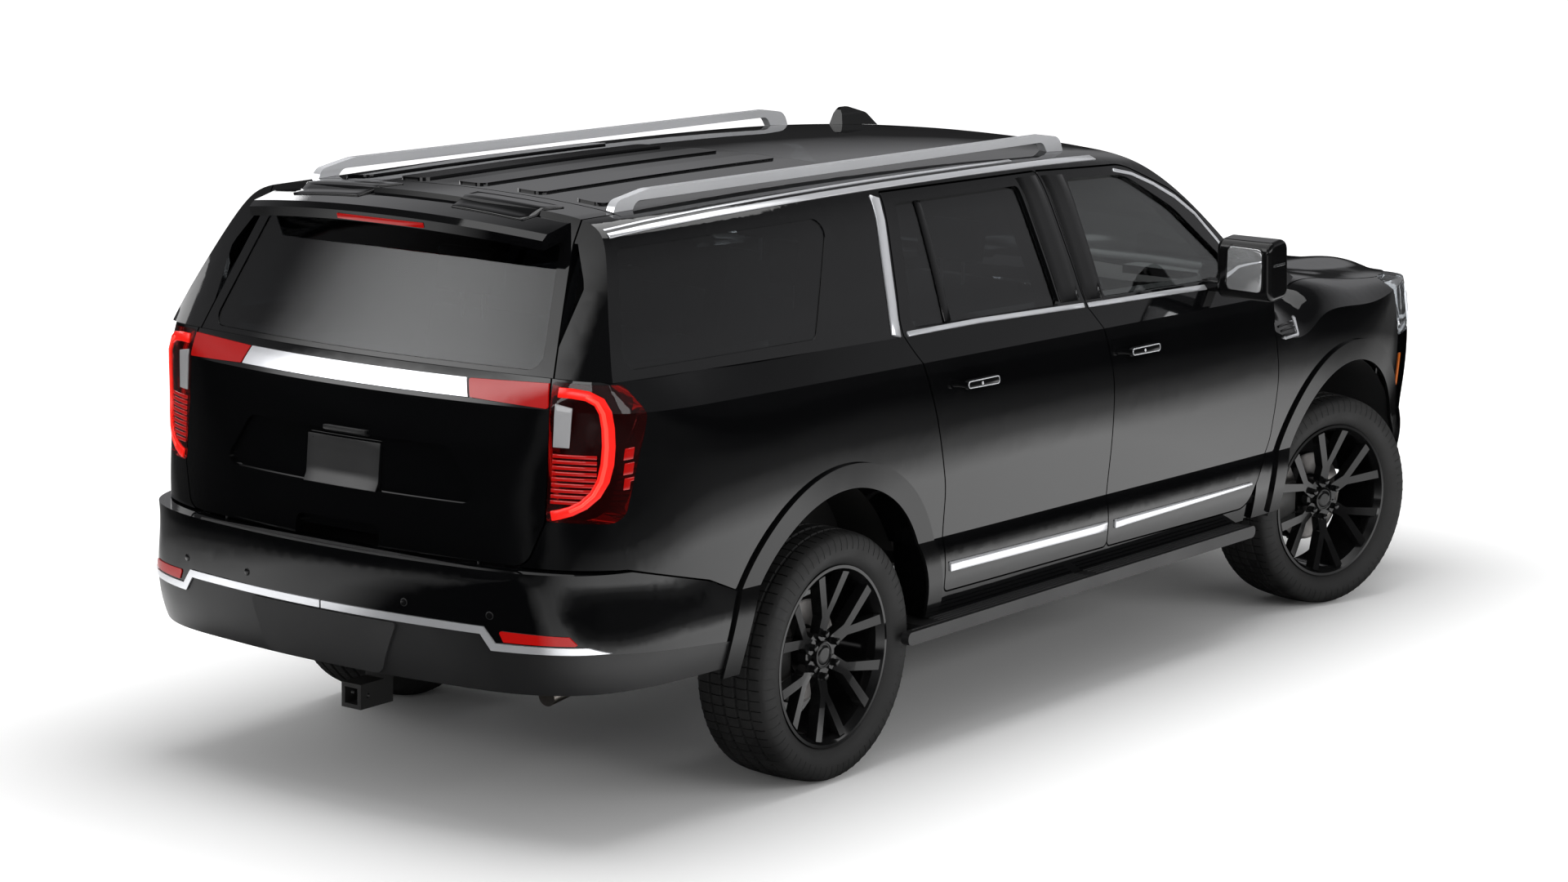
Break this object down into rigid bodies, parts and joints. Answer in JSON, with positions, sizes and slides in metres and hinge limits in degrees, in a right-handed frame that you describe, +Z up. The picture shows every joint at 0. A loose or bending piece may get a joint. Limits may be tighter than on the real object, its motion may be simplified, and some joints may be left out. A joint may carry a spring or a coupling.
{
  "type": "long-wheelbase full-size sport utility vehicle",
  "caption": "Long three-row utility vehicle on a ladder frame, with opening doors, hood and liftgate, steering front wheels and rolling wheels.",
  "frame": {"origin": "on the ground under the middle of the vehicle", "axes": "+Z up, front towards -Y, left side towards +X"},
  "size_m": [2.524, 5.7767, 1.943],
  "materials": {
    "body_paint": "gloss black",
    "bright_trim": "bright",
    "cast_metal": "cast",
    "dark_gloss_plastic": "dark gloss moulding",
    "dark_plastic": "grained dark plastic",
    "exhaust_steel": "bare steel",
    "frame_steel": "chassis coating",
    "lamp_clear": "clear lens",
    "lamp_red": "red lens",
    "satin_rail": "satin",
    "seat_leather": "dark leather",
    "tyre": "tyre rubber",
    "wheel": "gloss black alloy",
    "window_glass": "tinted"
  },
  "bodies": {
    "root": {"antenna": "body_paint", "arch_mouldings": "dark_gloss_plastic", "body_side_left": "body_paint", "body_side_right": "body_paint", "bumper_lamps": "lamp_red", "bumper_strips": "bright_trim", "cowl": "dark_plastic", "dashboard": "dark_plastic", "engine": "cast_metal", "exhaust": "exhaust_steel", "fenders": "body_paint", "floor": "frame_steel", "frame": "frame_steel", "front_bumper": "body_paint", "front_suspension": "frame_steel", "fuel_tank": "dark_plastic", "gearbox": "cast_metal", "grille": "dark_gloss_plastic", "headlamps": "lamp_clear", "hitch_cover": "dark_plastic", "quarter_glass": "window_glass", "rear_bumper": "body_paint", "rear_suspension": "frame_steel", "rear_valance": "dark_plastic", "roof_glass": "window_glass", "roof_panel": "body_paint", "roof_rails": "satin_rail", "running_boards": "dark_plastic", "seats_front": "seat_leather", "seats_middle": "seat_leather", "seats_rear": "seat_leather", "spare_wheel": "tyre", "step_pad": "dark_plastic", "tail_lamps": "lamp_red", "windscreen": "window_glass"},
    "door_front_left": {"door_front_left": "body_paint", "glass_front_left": "window_glass", "mirror_left": "body_paint"},
    "door_front_right": {"door_front_right": "body_paint", "glass_front_right": "window_glass", "mirror_right": "body_paint"},
    "door_rear_left": {"door_rear_left": "body_paint", "glass_rear_left": "window_glass"},
    "door_rear_right": {"door_rear_right": "body_paint", "glass_rear_right": "window_glass"},
    "liftgate": {"gate_bar": "bright_trim", "gate_glass": "window_glass", "gate_lamps": "lamp_red", "liftgate": "body_paint"},
    "hood": {"hood": "body_paint"},
    "knuckle_left": {"knuckle_left": "cast_metal"},
    "knuckle_right": {"knuckle_right": "cast_metal"},
    "wheel_front_left": {"rim_front_left": "wheel", "tyre_front_left": "tyre"},
    "wheel_front_right": {"rim_front_right": "wheel", "tyre_front_right": "tyre"},
    "wheel_rear_left": {"rim_rear_left": "wheel", "tyre_rear_left": "tyre"},
    "wheel_rear_right": {"rim_rear_right": "wheel", "tyre_rear_right": "tyre"}
  },
  "joints": [
    {"name": "steer_left", "type": "hinge", "parent": "root", "child": "knuckle_left", "pos_m": [0.8, -1.853, 0.412], "axis": [0, 0, 1], "range_deg": [-18, 48]},
    {"name": "wheel_front_left_spin", "type": "hinge", "parent": "knuckle_left", "child": "wheel_front_left", "pos_m": [0.86761, -1.87112, 0.412], "axis": [0.9659, -0.2588, 0], "continuous": true},
    {"name": "wheel_rear_left_spin", "type": "hinge", "parent": "root", "child": "wheel_rear_left", "pos_m": [0.87, 1.553, 0.412], "axis": [1, 0, 0], "continuous": true},
    {"name": "door_front_left_hinge", "type": "hinge", "parent": "root", "child": "door_front_left", "pos_m": [1.031, -1.26, 0.95], "axis": [0, 0, -1], "range_deg": [0, 65]},
    {"name": "door_rear_left_hinge", "type": "hinge", "parent": "root", "child": "door_rear_left", "pos_m": [1.031, -0.0855, 0.95], "axis": [0, 0, -1], "range_deg": [0, 68]},
    {"name": "steer_right", "type": "hinge", "parent": "root", "child": "knuckle_right", "pos_m": [-0.8, -1.853, 0.412], "axis": [0, 0, 1], "range_deg": [-18, 48]},
    {"name": "wheel_front_right_spin", "type": "hinge", "parent": "knuckle_right", "child": "wheel_front_right", "pos_m": [-0.86761, -1.83488, 0.412], "axis": [0.9659, -0.2588, 0], "continuous": true},
    {"name": "wheel_rear_right_spin", "type": "hinge", "parent": "root", "child": "wheel_rear_right", "pos_m": [-0.87, 1.553, 0.412], "axis": [1, 0, 0], "continuous": true},
    {"name": "door_front_right_hinge", "type": "hinge", "parent": "root", "child": "door_front_right", "pos_m": [-1.031, -1.26, 0.95], "axis": [0, 0, 1], "range_deg": [0, 65]},
    {"name": "door_rear_right_hinge", "type": "hinge", "parent": "root", "child": "door_rear_right", "pos_m": [-1.031, -0.0855, 0.95], "axis": [0, 0, 1], "range_deg": [0, 68]},
    {"name": "hood_hinge", "type": "hinge", "parent": "root", "child": "hood", "pos_m": [0, -1.44, 1.335], "axis": [-1, 0, 0], "range_deg": [0, 48]},
    {"name": "liftgate_hinge", "type": "hinge", "parent": "root", "child": "liftgate", "pos_m": [0, 2.2575, 1.918], "axis": [1, 0, 0], "range_deg": [0, 80]}
  ],
  "couplings": [
    {"joint": "steer_right", "follows": "steer_left", "ratio": 1}
  ]
}
